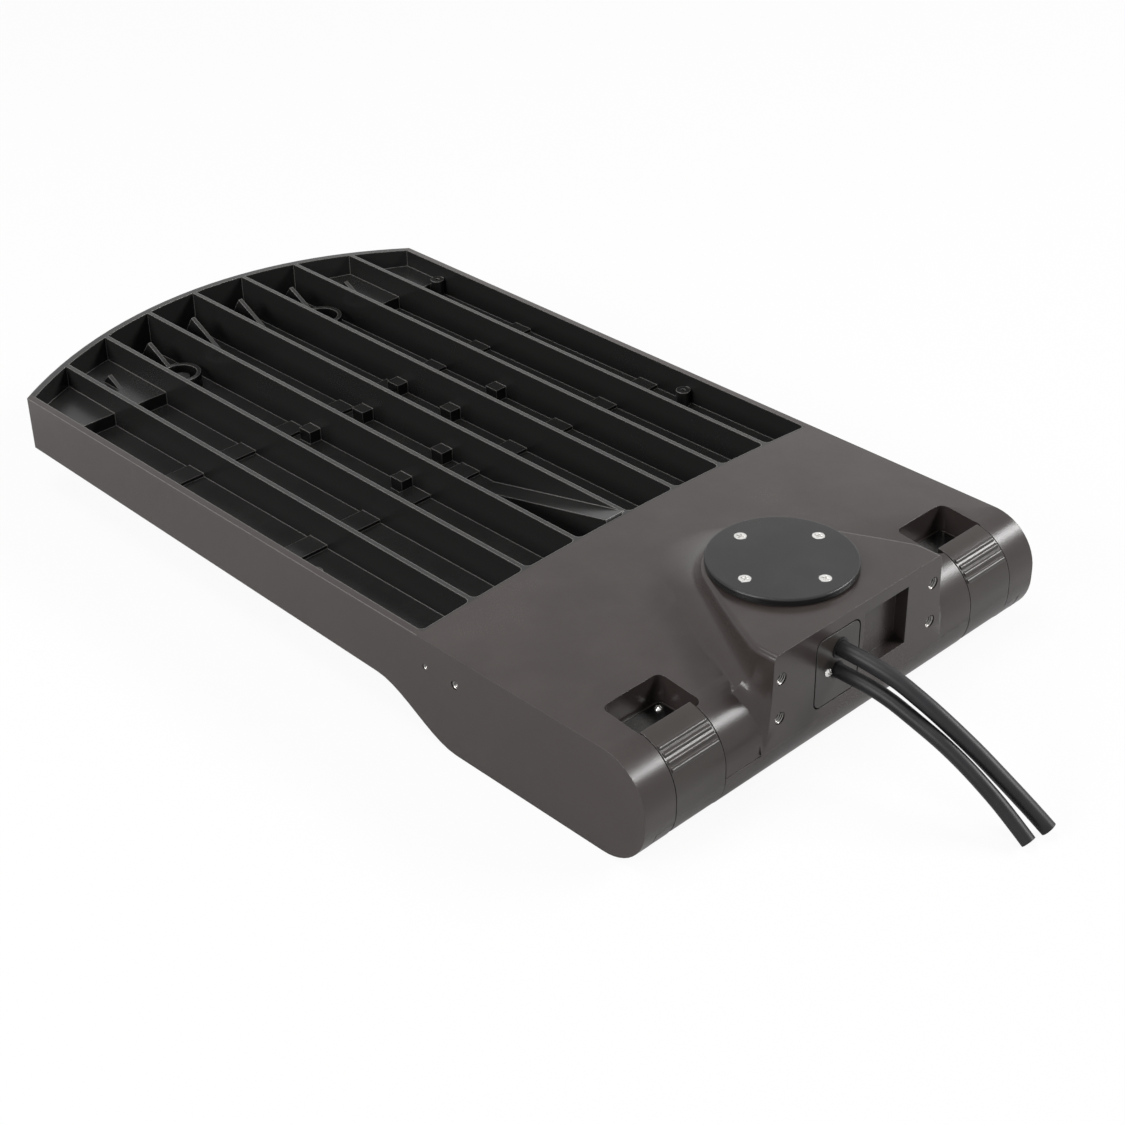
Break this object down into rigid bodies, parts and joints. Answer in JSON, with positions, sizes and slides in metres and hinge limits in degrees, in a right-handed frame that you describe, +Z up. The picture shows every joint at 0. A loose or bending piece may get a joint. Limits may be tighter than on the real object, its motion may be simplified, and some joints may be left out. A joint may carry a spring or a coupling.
{
  "type": "led area light",
  "caption": "Pole-mounted LED area light: finned die-cast head, driver box with hinged door and end latches, side-mount boss, round blank cover and two cables.",
  "frame": {"origin": "middle of the light without its cables, on the plane its driver box rests on", "axes": "+X to the right when looking along +Y; +Y from the mounting boss towards the tip; +Z up, away from the lenses"},
  "size_m": [0.34, 0.7602, 0.0984],
  "materials": {
    "housing_coat": "die casting with a dark bronze powder coat, satin",
    "door_coat": "die casting with a dark bronze powder coat, satin",
    "latch_coat": "dark bronze powder coat, satin",
    "cap_coat": "dark bronze powder coat, smoother",
    "plate_coat": "dark bronze powder coat, satin",
    "gasket_rubber": "black silicone",
    "bushing_rubber": "black, smooth",
    "cable_sheath": "black sheath, satin",
    "screw_steel": "stainless steel",
    "spring_steel": "stainless spring strip",
    "pin_steel": "stainless steel",
    "vent_plastic": "black nylon",
    "board_white": "white solder mask",
    "lens_clear": "clear moulded acrylic",
    "driver_case": "bare, satin",
    "tray_metal": "zinc plated sheet",
    "surge_plastic": "black, matt",
    "block_plastic": "white nylon",
    "ground_green": "green",
    "lead_red": "insulation",
    "lead_green": "insulation",
    "lead_black": "insulation",
    "lead_violet": "insulation"
  },
  "bodies": {
    "housing": {"main_housing": "housing_coat", "mount_cap": "cap_coat", "cap_gasket": "gasket_rubber", "cap_screws": "screw_steel", "gland_plate": "plate_coat", "gland_gasket": "gasket_rubber", "gland_screw": "screw_steel", "cable_bushings": "bushing_rubber", "power_cable": "cable_sheath", "dimming_cable": "cable_sheath", "latch_keepers": "spring_steel", "keeper_screws": "screw_steel", "vent_plugs": "vent_plastic", "hinge_pins": "pin_steel", "door_gasket": "gasket_rubber", "led_boards": "board_white", "lens_gaskets": "gasket_rubber", "lens_plates": "lens_clear", "lens_screws": "screw_steel", "driver": "driver_case", "gear_tray": "tray_metal", "driver_screws": "screw_steel", "tray_screws": "screw_steel", "surge_protector": "surge_plastic", "terminal_block": "block_plastic", "ground_screw": "ground_green", "duct_grommet": "gasket_rubber", "led_leads": "lead_red", "mains_leads": "lead_green", "driver_leads": "lead_black", "dimming_leads": "lead_violet"},
    "door": {"driver_door": "door_coat", "latch_pins": "pin_steel"},
    "latch_left_body": {"latch_left": "latch_coat"},
    "latch_right_body": {"latch_right": "latch_coat"}
  },
  "joints": [
    {"name": "door_hinge", "type": "hinge", "parent": "housing", "child": "door", "pos_m": [0, -0.1069, 0.03], "axis": [1, 0, 0], "range_deg": [0, 70]},
    {"name": "latch_left_pivot", "type": "hinge", "parent": "door", "child": "latch_left_body", "pos_m": [-0.127, -0.2969, 0.015], "axis": [1, 0, 0], "range_deg": [0, 60]},
    {"name": "latch_right_pivot", "type": "hinge", "parent": "door", "child": "latch_right_body", "pos_m": [0.127, -0.2969, 0.015], "axis": [1, 0, 0], "range_deg": [0, 60]}
  ]
}
